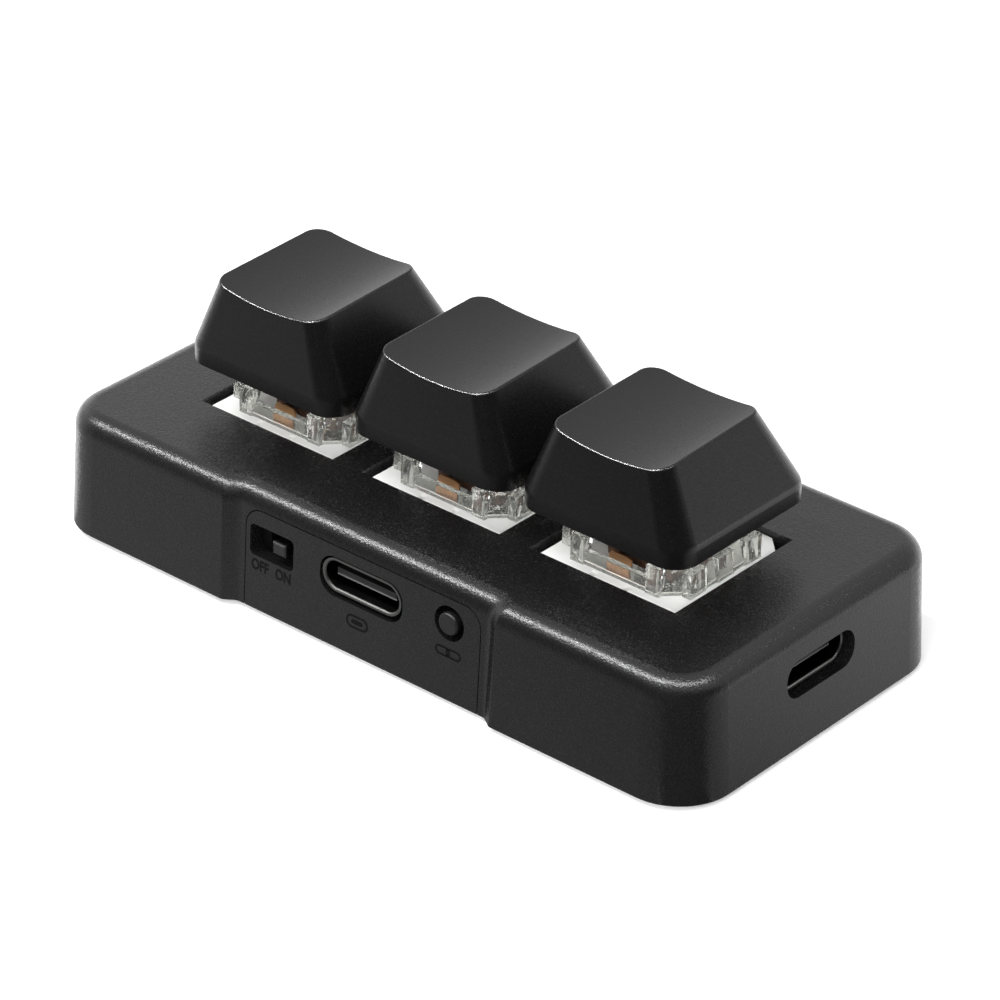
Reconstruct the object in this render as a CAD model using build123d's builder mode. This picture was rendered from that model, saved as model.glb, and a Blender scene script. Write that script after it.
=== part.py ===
"""Mini keypad: three key switches in a low moulded case, with a port panel let into its front wall.

Millimetres, +Z up. The origin is on the table, under the middle of the case. The port panel faces -Y.
"""
import os
from math import cos, radians, sin, sqrt, tan

from build123d import *

os.makedirs("parts", exist_ok=True)

# Case: its length and depth follow from the key row and the sockets beside it
case_height = 11.4
case_draft = 2.75
case_corner = 5.4
top_round = 1.9
wall = 1.8
roof = 2.0

# Shallow recess in the front wall: a flat floor between two sloping sides
recess_depth = 0.8
recess_margin = 0.85
recess_slope = 34.0
recess_crest_round = 0.6
recess_crest_share = 0.66
recess_foot_round = 0.9
recess_foot_share = 0.32

# Key row and the standard fit of its switches
key_count = 3
key_pitch = 19.05
key_travel = 4.0
flange_lap = 0.9
flange_side_lap = 0.3
flange_thick = 1.0
flange_sink = 0.6
flange_chamfer = 1.5
flange_gap = 0.1
flange_side_gap = 0.6
tongue_width = 3.0
tongue_length = 1.4
tongue_slit = 0.6
ledge_thick = 1.5
ledge_margin = 0.6
body_size = 13.9
body_corner = 0.5
body_gap = 0.1
board_drop = 5.0

# Switch: lower housing
housing_wall = 0.9
floor_thick = 1.0
post_diameter = 3.9
post_floor_gap = 0.3
post_skin = 0.5
side_pin_diameter = 1.7
side_pin_offset = 5.08
pole_diameter = 1.8
pole_gap = 0.25
pole_end_gap = 0.4
guide_wall = 0.3
guide_height = 1.5
clip_width = 3.6
clip_height = 1.2
clip_proud = 0.3
clip_gap = 0.05

# Switch: upper housing, a hollow frustum with cut corners, a window in front and posts on its sides
upper_inset = 0.15
upper_setback = 0.78
upper_lean = 1.4
upper_rise = 5.6
upper_wall = 0.6
upper_roof = 0.9
upper_foot_corner = 2.4
upper_top_corner = 1.2
leaf_window_width = 6.7
leaf_window_sill = 1.1
leaf_window_head = 0.3
post_width = 1.4
post_height = 2.7
post_thick = 0.9
post_proud = 0.15
leg_count = 3
leg_pitch = 3.7
leg_width = 2.1
leg_height = 2.3

# Switch: stem and spring
stem_length = 7.0
stem_wall = 0.4
stem_gap = 0.2
stem_floor_gap = 0.6
shoulder_sink = 0.1
cross_span = 4.0
cross_thick_x = 1.3
cross_thick_y = 1.1
cross_rise = 3.6
stop_proud_x = 0.8
stop_proud_y = 0.6
stop_thick = 1.4
stop_gap = 0.15
spring_wire = 0.36
spring_slack = 0.23
spring_bore_gap = 0.36
spring_headroom = 1.3
spring_end_gap = 0.05
cam_width = 1.0
cam_reach = 0.7
cam_spread = 2.2

# Switch: sheet contacts
contact_sheet = 0.2
contact_pin_width = 0.9
contact_pin_gap = 0.15
contact_pin_proud = 0.4
leaf_setback = 1.87
leaf_root_width = 6.2
leaf_root_height = 4.0
leaf_arm_width = 2.4
leaf_arm_shift = -0.3
leaf_arm_rise = 1.75
leaf_arm_round = 0.5
leaf_pin_x = -2.54
contact_spacing = 0.88
fixed_pin_x = 3.81
fixed_pin_y = -2.54
fixed_width = 5.0
fixed_height = 4.0

# Keycap: an upright skirt, then sides that lean in to a top that is shifted, tilted and dished
cap_spacing = 1.25
cap_base_depth = 18.0
cap_base_round = 2.4
cap_skirt = 1.6
cap_skirt_round = 1.5
cap_side_lean = 2.85
cap_front_lean = 0.9
cap_back_lean = 3.5
cap_top_round = 1.7
cap_top_tilt = 1.55
cap_height = 8.55
cap_dish = 0.7
cap_edge_round = 0.22
cap_wall = 1.3
cap_roof = 1.7
cap_floor_gap = 0.4
boss_clearance = 0.1
socket_gap = 0.06
socket_extra = 0.3

# Port panel
panel_half = 13.3
panel_drop = 1.7
panel_corner = 1.8
panel_gap = 0.1
panel_lip = 1.1
panel_lip_thick = 0.9

# Standard socket: steel shell, insulator and tongue
usb_width = 8.94
usb_height = 3.26
usb_sheet = 0.3
usb_length = 7.3
usb_lip = 0.1
usb_fit = 0.03
usb_tongue_width = 6.7
usb_tongue_thick = 0.7
usb_tongue_recess = 0.7
usb_plug_thick = 1.6
usb_back_thick = 0.7
usb_base_inset = 2.0
usb_tab_width = 1.2
usb_tab_inset = 2.2
front_usb_drop = 4.5
front_usb_inset = 0.1
front_bay_gap = 0.07
front_port_width = 9.4
front_port_height = 3.8
front_port_drop = 0.15
side_usb_drop = 4.75
side_usb_inset = 1.05
side_bay_gap = 0.43
side_port_gap = 0.14

# Slide switch
slide_edge = 3.0
slide_drop = 4.65
slide_window_width = 5.05
slide_window_height = 3.0
slide_window_round = 0.5
slide_travel = 1.5
slide_gap = 0.12
slide_face = 0.5
slide_body_length = 8.2
slide_body_depth = 3.6
slide_body_cover = 0.9
knob_width = 1.45
knob_height = 1.2
knob_inset = 0.05
knob_edge = 0.12
carriage_width = 2.6
carriage_height = 2.2
carriage_thick = 0.8

# Push button on its tact switch
button_edge_distance = 3.4
button_drop = 4.03
button_diameter = 2.1
button_hole = 3.25
button_proud = 0.3
button_travel = 0.3
button_flange = 3.9
button_flange_thick = 0.6
button_gap = 0.1
button_round = 0.25
plunger_diameter = 1.6
plunger_length = 1.0
plunger_gap = 0.15
tact_length = 4.6
tact_depth = 3.2
tact_cover = 1.4

# Board and what lies on it
board_thick = 1.6
board_edge_gap = 0.6
board_panel_gap = 0.3
hole_gap = 0.1
battery_length = 38.0
battery_height = 4.2
battery_round = 1.0
battery_gap = 0.4
module_length = 5.4
module_depth = 12.0
module_height = 1.0
module_lid = 1.1
module_edge = 0.5

# Bottom cover, screws and feet
cover_thick = 1.0
cover_gap = 0.12
pad_diameter = 6.4
pad_thick = 1.0
boss_outer = 5.8
boss_inset = 2.6
screw_diameter = 2.0
screw_gap = 0.05
screw_head = 3.6
screw_head_edge = 0.1
screw_length = 6.0
screw_hole_extra = 2.0
screw_socket = 1.2
screw_socket_depth = 0.6
standoff_diameter = 3.0
standoff_y = 10.6
foot_diameter = 7.5
foot_proud = 0.5
foot_recess = 0.4
foot_gap = 0.1
foot_edge = 0.2
foot_step_x = 8.2
foot_step_y = 2.65

# Heights that follow from the sizes above
slope = tan(radians(case_draft))
case_floor = foot_proud
case_top = case_floor + case_height
roof_under = case_top - roof
flange_top = case_top - flange_sink
seat = flange_top - flange_thick
ledge_under = seat - ledge_thick
board_top = seat - board_drop
board_under = board_top - board_thick
cover_top = case_floor + cover_thick
pad_top = cover_top + pad_thick
housing_floor = board_top + floor_thick
post_end = cover_top + post_floor_gap
pole_hole_end = post_end + post_skin
pole_end = pole_hole_end + pole_end_gap + key_travel
pin_end = board_under - contact_pin_proud
upper_top = flange_top + upper_rise
upper_ceiling = upper_top - upper_roof
shoulder = upper_top - shoulder_sink
stem_foot = housing_floor + stem_floor_gap + key_travel
stop_top = upper_ceiling - stop_gap
bore_top = shoulder - spring_headroom
leaf_top = flange_top + leaf_arm_rise
cap_bottom = case_top + cap_floor_gap + key_travel
cap_skirt_top = cap_bottom + cap_skirt
cap_rim = cap_bottom + cap_height
cap_ceiling = cap_rim - cap_dish - cap_roof
panel_top = case_top - panel_drop
front_usb_z = case_top - front_usb_drop
side_usb_z = case_top - side_usb_drop
slide_z = case_top - slide_drop
button_z = case_top - button_drop

# Plan sizes that follow from the sizes above
flange_length = body_size + 2 * flange_side_lap
flange_depth = body_size + 2 * flange_lap
pocket_length = flange_length + 2 * flange_side_gap
pocket_depth = flange_depth + 2 * flange_gap
through_size = body_size + 2 * body_gap
ledge_length = (key_count - 1) * key_pitch + pocket_length + 2 * ledge_margin
ledge_depth = pocket_depth + 2 * ledge_margin
front_bay = front_bay_gap + usb_back_thick + usb_length + front_usb_inset + recess_depth
side_bay = side_bay_gap + usb_length + side_usb_inset
case_depth = ledge_depth + 2 * (front_bay + (front_usb_z - case_floor) * slope)
case_length = ledge_length + 2 * (side_bay + (side_usb_z - case_floor) * slope)
upper_length = body_size - 2 * upper_inset
upper_depth = body_size - 2 * upper_setback
leaf_y = leaf_setback - body_size / 2
fixed_plate_y = leaf_y + contact_spacing
guide_diameter = pole_diameter + 2 * (pole_gap + guide_wall)
spring_inner = guide_diameter + 2 * spring_slack
spring_outer = spring_inner + 2 * spring_wire
spring_bore = spring_outer + 2 * spring_bore_gap
stem_depth = spring_bore + 2 * stem_wall
boss_diameter = stem_depth - boss_clearance
cap_base_length = key_pitch - cap_spacing
cap_top_length = cap_base_length - 2 * cap_side_lean
cap_top_depth = cap_base_depth - cap_front_lean - cap_back_lean
cap_top_shift = (cap_front_lean - cap_back_lean) / 2
usb_base_width = usb_width - usb_height
slide_x = slide_edge - panel_half
slider_x = slide_x + slide_travel / 2
button_x = panel_half - button_edge_distance
recess_floor_half = panel_half + recess_margin
screw_x = case_length / 2 - wall - boss_inset
screw_y = case_depth / 2 - wall - boss_inset
foot_x = screw_x - foot_step_x
foot_y = screw_y - foot_step_y
standoff_x = key_pitch / 2


def front_face(z):
    """Y of the recess floor, which leans back with the draft."""
    return recess_depth - case_depth / 2 + (z - case_floor) * slope


def side_face(z):
    """X of the right-hand end of the case."""
    return case_length / 2 - (z - case_floor) * slope


def inner_front(z):
    """Y of the front wall's inner side."""
    return wall - case_depth / 2 + (z - case_floor) * slope


# Planes and faces that several pieces share
panel_back = inner_front(case_floor) + panel_lip_thick
front_mouth = Plane(
    origin=(0, front_face(front_usb_z) + front_usb_inset, front_usb_z),
    x_dir=(1, 0, 0),
    z_dir=(0, -1, 0),
)
side_mouth = Plane(
    origin=(side_face(side_usb_z) - side_usb_inset, 0, side_usb_z),
    x_dir=(0, 1, 0),
    z_dir=(1, 0, 0),
)
slide_front = panel_back + slide_gap
carriage_front = slide_front + slide_face + slide_gap
button_front = panel_back + button_gap
tact_front = button_front + button_flange_thick + button_travel + button_gap

# Outside form of the case: the outline with its recess, drawn up with the draft, then rounded on top
with BuildPart() as case_body:
    recess_run = recess_depth / tan(radians(recess_slope))
    recess_mouth_half = recess_floor_half + recess_run
    full_round = recess_depth / sin(radians(recess_slope)) / tan(radians(recess_slope / 2))
    foot_round = min(recess_foot_round, recess_foot_share * full_round)
    crest_round = min(recess_crest_round, recess_crest_share * full_round)
    with BuildSketch(Plane.XY.offset(case_floor)) as case_outline:
        RectangleRounded(case_length, case_depth, case_corner)
        with BuildLine():
            Polyline(
                (-recess_mouth_half, -case_depth / 2),
                (-recess_floor_half, -case_depth / 2 + recess_depth),
                (recess_floor_half, -case_depth / 2 + recess_depth),
                (recess_mouth_half, -case_depth / 2),
                close=True,
            )
        make_face(mode=Mode.SUBTRACT)
        flank_middle = recess_floor_half + recess_run / 2
        recess_floor = case_outline.vertices().filter_by(lambda point: abs(point.X) < flank_middle)
        fillet(recess_floor.filter_by(lambda point: point.Y < 0), foot_round)
        mouth_end = (recess_mouth_half + case_length / 2 - case_corner) / 2
        recess_mouth = case_outline.vertices().filter_by(lambda point: abs(point.X) < mouth_end)
        fillet(recess_mouth.group_by(Axis.Y)[0], crest_round)
    extrude(amount=case_height, taper=case_draft)
    fillet(case_body.faces().sort_by(Axis.Z)[-1].edges(), top_round)

# Hollow of the case, with the same draft
with BuildPart() as cavity:
    with BuildSketch(Plane.XY.offset(case_floor)):
        RectangleRounded(case_length - 2 * wall, case_depth - 2 * wall, case_corner - wall)
    extrude(amount=case_height - roof, taper=case_draft)

# Top shell: walls, roof, the thick ledge that holds the switches, screw bosses and the port openings
with BuildPart() as top_shell:
    add(case_body.part)
    add(cavity.part, mode=Mode.SUBTRACT)
    with BuildSketch(Plane.XY.offset(ledge_under)):
        Rectangle(ledge_length, ledge_depth)
    extrude(amount=roof_under - ledge_under)
    with BuildSketch(Plane.XY.offset(seat)):
        with GridLocations(key_pitch, key_pitch, key_count, 1):
            Rectangle(pocket_length, pocket_depth)
    extrude(amount=case_height, mode=Mode.SUBTRACT)
    with BuildSketch(Plane.XY.offset(ledge_under)):
        with GridLocations(key_pitch, key_pitch, key_count, 1):
            Rectangle(through_size, through_size)
    extrude(amount=ledge_thick, mode=Mode.SUBTRACT)
    with BuildSketch(Plane.XY.offset(pad_top)):
        with GridLocations(2 * screw_x, 2 * screw_y, 2, 2):
            Circle(boss_outer / 2)
    extrude(amount=roof_under - pad_top)
    with BuildSketch(Plane.XY.offset(pad_top)):
        with GridLocations(2 * screw_x, 2 * screw_y, 2, 2):
            Circle(screw_diameter / 2 + screw_gap)
    extrude(amount=case_floor + screw_length + screw_hole_extra - pad_top, mode=Mode.SUBTRACT)
    with BuildSketch(Plane.XZ.offset(-panel_back)) as panel_window:
        with Locations((0, panel_top + panel_gap - case_height)):
            Rectangle(2 * (panel_half + panel_gap), 2 * case_height)
        fillet(panel_window.vertices().group_by(Axis.Y)[-1], panel_corner + panel_gap)
    extrude(amount=case_depth / 2, mode=Mode.SUBTRACT)
    with BuildSketch(side_mouth.offset(-usb_length)):
        RectangleRounded(
            usb_width + 2 * side_port_gap,
            usb_height + 2 * side_port_gap,
            usb_height / 2,
        )
    extrude(amount=case_length / 2, mode=Mode.SUBTRACT)
top_shell.part.label = "top_shell"
export_step(top_shell.part, "parts/top_shell.step")

# Lip of the port panel: it lies against the inner side of the front wall
with BuildPart() as panel_rim:
    with BuildSketch(Plane.XZ.offset(-panel_back)):
        with Locations((0, cover_top + cover_gap + case_height / 2)):
            Rectangle(2 * (panel_half + panel_lip), case_height)
    extrude(amount=case_depth / 2)
    add(cavity.part, mode=Mode.INTERSECT)

# Port panel: a plug that fills the window in the front wall, flush with the floor of the recess
with BuildPart() as port_panel:
    with BuildSketch(Plane.XZ.offset(-panel_back)) as panel_outline:
        with Locations((0, (case_floor + panel_top) / 2)):
            Rectangle(2 * panel_half, panel_top - case_floor)
        fillet(panel_outline.vertices().group_by(Axis.Y)[-1], panel_corner)
    extrude(amount=case_depth / 2)
    add(case_body.part, mode=Mode.INTERSECT)
    with BuildSketch(Plane.XY.offset(case_floor)):
        Rectangle(case_length, -2 * inner_front(case_floor))
    extrude(amount=cover_thick + cover_gap, mode=Mode.SUBTRACT)
    add(panel_rim.part)
    with BuildSketch(Plane.XZ.offset(-panel_back)):
        with Locations((0, front_usb_z - front_port_drop)):
            RectangleRounded(front_port_width, front_port_height, usb_height / 2)
        with Locations((slide_x, slide_z)):
            RectangleRounded(slide_window_width, slide_window_height, slide_window_round)
        with Locations((button_x, button_z)):
            Circle(button_hole / 2)
    extrude(amount=case_depth / 2, mode=Mode.SUBTRACT)
port_panel.part.label = "port_panel"
export_step(port_panel.part, "parts/port_panel.step")


def screw_form(slack):
    """One countersunk screw, head down, or with slack the hole that it sits in."""
    with BuildPart() as form:
        with BuildSketch(Plane.XZ):
            with BuildLine():
                shank = screw_diameter / 2 + slack
                rim = screw_head / 2 + slack
                rim_top = case_floor + screw_head_edge
                Polyline(
                    (0, case_floor),
                    (rim, case_floor),
                    (rim, rim_top),
                    (shank, rim_top + rim - shank),
                    (shank, case_floor + screw_length),
                    (0, case_floor + screw_length),
                    close=True,
                )
            make_face()
        revolve(axis=Axis.Z)
    return form.part


# Bottom cover: a plate inside the walls, with pads under the bosses and standoffs under the board
with BuildPart() as bottom_cover:
    with BuildSketch(Plane.XY.offset(case_floor)):
        RectangleRounded(
            case_length - 2 * (wall + cover_gap),
            case_depth - 2 * (wall + cover_gap),
            case_corner - wall - cover_gap,
        )
    extrude(amount=board_under - case_floor, taper=case_draft)
    with BuildSketch(Plane.XY.offset(cover_top)):
        Rectangle(case_length, case_depth)
        with GridLocations(2 * screw_x, 2 * screw_y, 2, 2):
            Circle(pad_diameter / 2, mode=Mode.SUBTRACT)
        with GridLocations(2 * standoff_x, 2 * standoff_y, 2, 2):
            Circle(standoff_diameter / 2, mode=Mode.SUBTRACT)
    extrude(amount=board_under - cover_top, mode=Mode.SUBTRACT)
    with BuildSketch(Plane.XY.offset(pad_top)):
        with GridLocations(2 * screw_x, 2 * screw_y, 2, 2):
            Circle(pad_diameter / 2)
    extrude(amount=board_thick + board_drop, mode=Mode.SUBTRACT)
    with GridLocations(2 * screw_x, 2 * screw_y, 2, 2):
        add(screw_form(screw_gap), mode=Mode.SUBTRACT)
    with BuildSketch(Plane.XY.offset(case_floor)):
        with GridLocations(2 * foot_x, 2 * foot_y, 2, 2):
            Circle(foot_diameter / 2 + foot_gap)
    extrude(amount=foot_recess, mode=Mode.SUBTRACT)
bottom_cover.part.label = "bottom_cover"
export_step(bottom_cover.part, "parts/bottom_cover.step")

# Case screws: four alike, driven from below with a hexagon key
with BuildPart() as case_screws:
    with GridLocations(2 * screw_x, 2 * screw_y, 2, 2):
        add(screw_form(0))
    with BuildSketch(Plane.XY.offset(case_floor)):
        with GridLocations(2 * screw_x, 2 * screw_y, 2, 2):
            RegularPolygon(screw_socket / 2, 6)
    extrude(amount=screw_socket_depth, mode=Mode.SUBTRACT)
case_screws.part.label = "case_screws"
export_step(case_screws.part, "parts/case_screws.step")

# Rubber feet: four discs stuck into the recesses of the cover
with BuildPart() as rubber_feet:
    with BuildSketch(Plane.XY):
        with GridLocations(2 * foot_x, 2 * foot_y, 2, 2):
            Circle(foot_diameter / 2)
    extrude(amount=foot_proud + foot_recess)
    chamfer(rubber_feet.edges().group_by(Axis.Z)[0], foot_edge)
rubber_feet.part.label = "rubber_feet"
export_step(rubber_feet.part, "parts/rubber_feet.step")

# Main board: it rests on the standoffs, is cut away round the bosses and drilled for the switches
board_half_length = side_face(board_top) - wall - board_edge_gap
board_front = panel_back + board_panel_gap
board_back = -inner_front(board_top) - board_edge_gap
with BuildPart() as main_board:
    with BuildSketch(Plane.XY.offset(board_under)):
        with Locations((0, (board_front + board_back) / 2)):
            Rectangle(2 * board_half_length, board_back - board_front)
        with GridLocations(2 * screw_x, 2 * screw_y, 2, 2):
            Circle(pad_diameter / 2 + board_panel_gap, mode=Mode.SUBTRACT)
        with GridLocations(key_pitch, key_pitch, key_count, 1):
            Circle(post_diameter / 2 + hole_gap, mode=Mode.SUBTRACT)
            with Locations((-side_pin_offset, 0), (side_pin_offset, 0)):
                Circle(side_pin_diameter / 2 + hole_gap, mode=Mode.SUBTRACT)
            with Locations((leaf_pin_x, leaf_y), (fixed_pin_x, fixed_pin_y)):
                Circle(contact_pin_width / 2 + contact_pin_gap, mode=Mode.SUBTRACT)
    extrude(amount=board_thick)
main_board.part.label = "main_board"
export_step(main_board.part, "parts/main_board.step")


def usb_shell(mouth):
    """Steel shell of a socket, drawn back from its mouth, with four feet down to the board."""
    drop = mouth.origin.Z - board_top
    with BuildPart() as shell:
        with BuildSketch(mouth):
            SlotOverall(usb_width, usb_height)
        extrude(amount=-usb_length)
        for tab_start in (usb_tab_inset, usb_length - usb_tab_width):
            with BuildSketch(mouth.offset(-tab_start)):
                with GridLocations(usb_width - usb_sheet, 0, 2, 1):
                    with Locations((0, -drop / 2)):
                        Rectangle(usb_sheet, drop)
            extrude(amount=-usb_tab_width)
        with BuildSketch(mouth):
            SlotOverall(usb_width - 2 * usb_sheet, usb_height - 2 * usb_sheet)
        extrude(amount=-usb_length, mode=Mode.SUBTRACT)
        mouth_face = shell.faces().sort_by(Axis(mouth.origin, mouth.z_dir))[-1]
        chamfer(mouth_face.inner_wires()[0].edges(), usb_lip)
    return shell.part


def usb_insulator(mouth):
    """Insulator of a socket: tongue and plug inside the shell, back wall and base down to the board."""
    drop = mouth.origin.Z - board_top
    inside = 2 * (usb_sheet + usb_fit)
    with BuildPart() as insulator:
        with BuildSketch(mouth.offset(-usb_tongue_recess)):
            Rectangle(usb_tongue_width, usb_tongue_thick)
        extrude(amount=usb_tongue_recess - usb_length)
        with BuildSketch(mouth.offset(usb_plug_thick - usb_length)):
            SlotOverall(usb_width - inside, usb_height - inside)
        extrude(amount=-usb_plug_thick)
        with BuildSketch(mouth.offset(-usb_length)):
            with Locations((0, -drop / 2)):
                Rectangle(usb_base_width, drop)
        extrude(amount=-usb_back_thick)
        with BuildSketch(mouth.offset(-usb_base_inset)):
            with Locations((0, -(drop + usb_height / 2) / 2)):
                Rectangle(usb_base_width, drop - usb_height / 2)
        extrude(amount=usb_base_inset - usb_length)
    return insulator.part


# The two sockets: one behind the port panel, one in the right-hand end
for place, mouth in (("front", front_mouth), ("side", side_mouth)):
    shell_piece = usb_shell(mouth)
    shell_piece.label = f"{place}_usb_shell"
    export_step(shell_piece, f"parts/{place}_usb_shell.step")
    insulator_piece = usb_insulator(mouth)
    insulator_piece.label = f"{place}_usb_insulator"
    export_step(insulator_piece, f"parts/{place}_usb_insulator.step")

# Slide switch body: a box on the board, hollow for the carriage, with a slot for the knob in its face
with BuildPart() as slide_switch_body:
    with BuildSketch(Plane.XY.offset(board_top)):
        with Locations((slide_x, slide_front + slide_body_depth / 2)):
            Rectangle(slide_body_length, slide_body_depth)
    extrude(amount=slide_z + carriage_height / 2 + slide_body_cover - board_top)
    with BuildSketch(Plane.XZ.offset(-slide_front - slide_face)):
        with Locations((slide_x, slide_z)):
            Rectangle(carriage_width + slide_travel + 2 * slide_gap, carriage_height + 2 * slide_gap)
    extrude(amount=-carriage_thick - 2 * slide_gap, mode=Mode.SUBTRACT)
    with BuildSketch(Plane.XZ.offset(-slide_front - slide_face)):
        with Locations((slide_x, slide_z)):
            Rectangle(knob_width + slide_travel + 2 * slide_gap, knob_height + 2 * slide_gap)
    extrude(amount=slide_face, mode=Mode.SUBTRACT)
slide_switch_body.part.label = "slide_switch_body"
export_step(slide_switch_body.part, "parts/slide_switch_body.step")

# Power slider: the carriage and its knob, at the ON end of the travel
with BuildPart() as power_slider:
    with BuildSketch(Plane.XZ.offset(-carriage_front)):
        with Locations((slider_x, slide_z)):
            Rectangle(carriage_width, carriage_height)
    extrude(amount=-carriage_thick)
    with BuildSketch(Plane.XZ.offset(-carriage_front)):
        with Locations((slider_x, slide_z)):
            Rectangle(knob_width, knob_height)
    extrude(amount=carriage_front - front_face(slide_z) - knob_inset)
    chamfer(power_slider.faces().sort_by(Axis.Y)[0].edges(), knob_edge)
power_slider.part.label = "power_slider"
export_step(power_slider.part, "parts/power_slider.step")

# Connect button: a round button with a flange behind the panel that keeps it in
with BuildPart() as connect_button:
    with BuildSketch(Plane.XZ.offset(-button_front)):
        with Locations((button_x, button_z)):
            Circle(button_diameter / 2)
    extrude(amount=button_front - front_face(button_z) + button_proud)
    fillet(connect_button.edges().group_by(Axis.Y)[0], button_round)
    with BuildSketch(Plane.XZ.offset(-button_front)):
        with Locations((button_x, button_z)):
            Circle(button_flange / 2)
    extrude(amount=-button_flange_thick)
connect_button.part.label = "connect_button"
export_step(connect_button.part, "parts/connect_button.step")

# Plunger of the tact switch, which the button pushes
with BuildPart() as tact_plunger:
    with BuildSketch(Plane.XZ.offset(-button_front - button_flange_thick)):
        with Locations((button_x, button_z)):
            Circle(plunger_diameter / 2)
    extrude(amount=-plunger_length)
tact_plunger.part.label = "tact_plunger"
export_step(tact_plunger.part, "parts/tact_plunger.step")

# Tact switch: a box on the board with a pocket for the plunger and its travel
with BuildPart() as tact_switch:
    with BuildSketch(Plane.XY.offset(board_top)):
        with Locations((button_x, tact_front + tact_depth / 2)):
            Rectangle(tact_length, tact_depth)
    extrude(amount=button_z + tact_cover - board_top)
    with BuildSketch(Plane.XZ.offset(-tact_front)):
        with Locations((button_x, button_z)):
            Circle(plunger_diameter / 2 + plunger_gap)
    extrude(amount=button_gap - plunger_length - plunger_gap, mode=Mode.SUBTRACT)
tact_switch.part.label = "tact_switch"
export_step(tact_switch.part, "parts/tact_switch.step")

# Battery: a slim cell on the board, between the switch ledge and the back wall
battery_front = ledge_depth / 2 + battery_gap
battery_back = -inner_front(board_top + battery_height) - battery_gap
with BuildPart() as battery:
    with BuildSketch(Plane.XY.offset(board_top)):
        with Locations((0, (battery_front + battery_back) / 2)):
            Rectangle(battery_length, battery_back - battery_front)
    extrude(amount=battery_height)
    fillet(battery.edges().filter_by(Axis.X), battery_round)
battery.part.label = "battery"
export_step(battery.part, "parts/battery.step")

# Controller module: a small board with a shielding lid, at the left-hand end
module_x = -(ledge_length / 2 + board_half_length) / 2
with BuildPart() as controller_module:
    with BuildSketch(Plane.XY.offset(board_top)):
        with Locations((module_x, 0)):
            Rectangle(module_length, module_depth)
    extrude(amount=module_height)
    with BuildSketch(Plane.XY.offset(board_top + module_height)):
        with Locations((module_x, 0)):
            Rectangle(module_length - 2 * module_edge, module_depth - 2 * module_edge)
    extrude(amount=module_lid)
controller_module.part.label = "controller_module"
export_step(controller_module.part, "parts/controller_module.step")


def upper_outline(z, inset):
    """Outline of the upper housing at a height, with its corners cut, drawn in all round by the inset."""
    share = (z - flange_top) / upper_rise
    length = upper_length - 2 * share * upper_lean
    depth = upper_depth - 2 * share * upper_lean
    corner = upper_foot_corner + share * (upper_top_corner - upper_foot_corner)
    with BuildSketch(Plane.XY.offset(z)) as outline:
        Rectangle(length - 2 * inset, depth - 2 * inset)
        chamfer(outline.vertices(), corner - inset * (2 - sqrt(2)))
    return outline.sketch


# Lower housing of a switch: flange on the seat, hollow body, post and pins into the board, clip noses
with BuildPart() as lower_housing:
    with BuildSketch(Plane.XY.offset(board_top)):
        RectangleRounded(body_size, body_size, body_corner)
    extrude(amount=seat - board_top)
    with BuildSketch(Plane.XY.offset(seat)) as flange_outline:
        Rectangle(flange_length, flange_depth)
        chamfer(flange_outline.vertices().group_by(Axis.Y)[-1], flange_chamfer)
        with Locations((0, (tongue_length - flange_depth) / 2)):
            with GridLocations(tongue_width + tongue_slit, 0, 2, 1):
                Rectangle(tongue_slit, tongue_length, mode=Mode.SUBTRACT)
    extrude(amount=flange_thick)
    add(upper_outline(flange_top, housing_wall - upper_inset))
    extrude(amount=housing_floor - flange_top, mode=Mode.SUBTRACT)
    with BuildSketch(Plane.XY.offset(housing_floor)):
        Circle(guide_diameter / 2)
    extrude(amount=guide_height)
    with BuildSketch(Plane.XY.offset(post_end)):
        Circle(post_diameter / 2)
    extrude(amount=board_top - post_end)
    with BuildSketch(Plane.XY.offset(board_under)):
        with Locations((-side_pin_offset, 0), (side_pin_offset, 0)):
            Circle(side_pin_diameter / 2)
    extrude(amount=board_thick)
    with BuildSketch(Plane.XY.offset(pole_hole_end)):
        Circle(pole_diameter / 2 + pole_gap)
    extrude(amount=housing_floor + guide_height - pole_hole_end, mode=Mode.SUBTRACT)
    with BuildSketch(Plane.XY.offset(board_top)):
        with Locations((leaf_pin_x, leaf_y), (fixed_pin_x, fixed_pin_y)):
            Rectangle(contact_pin_width + 2 * contact_pin_gap, contact_sheet + 2 * contact_pin_gap)
    extrude(amount=floor_thick, mode=Mode.SUBTRACT)
    with BuildSketch(Plane.YZ):
        for side in (-1, 1):
            with BuildLine():
                Polyline(
                    (side * body_size / 2, ledge_under - clip_gap),
                    (side * (body_size / 2 + clip_proud), ledge_under - clip_gap),
                    (side * body_size / 2, ledge_under - clip_gap - clip_height),
                    close=True,
                )
            make_face()
    extrude(amount=clip_width / 2, both=True)

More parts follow.
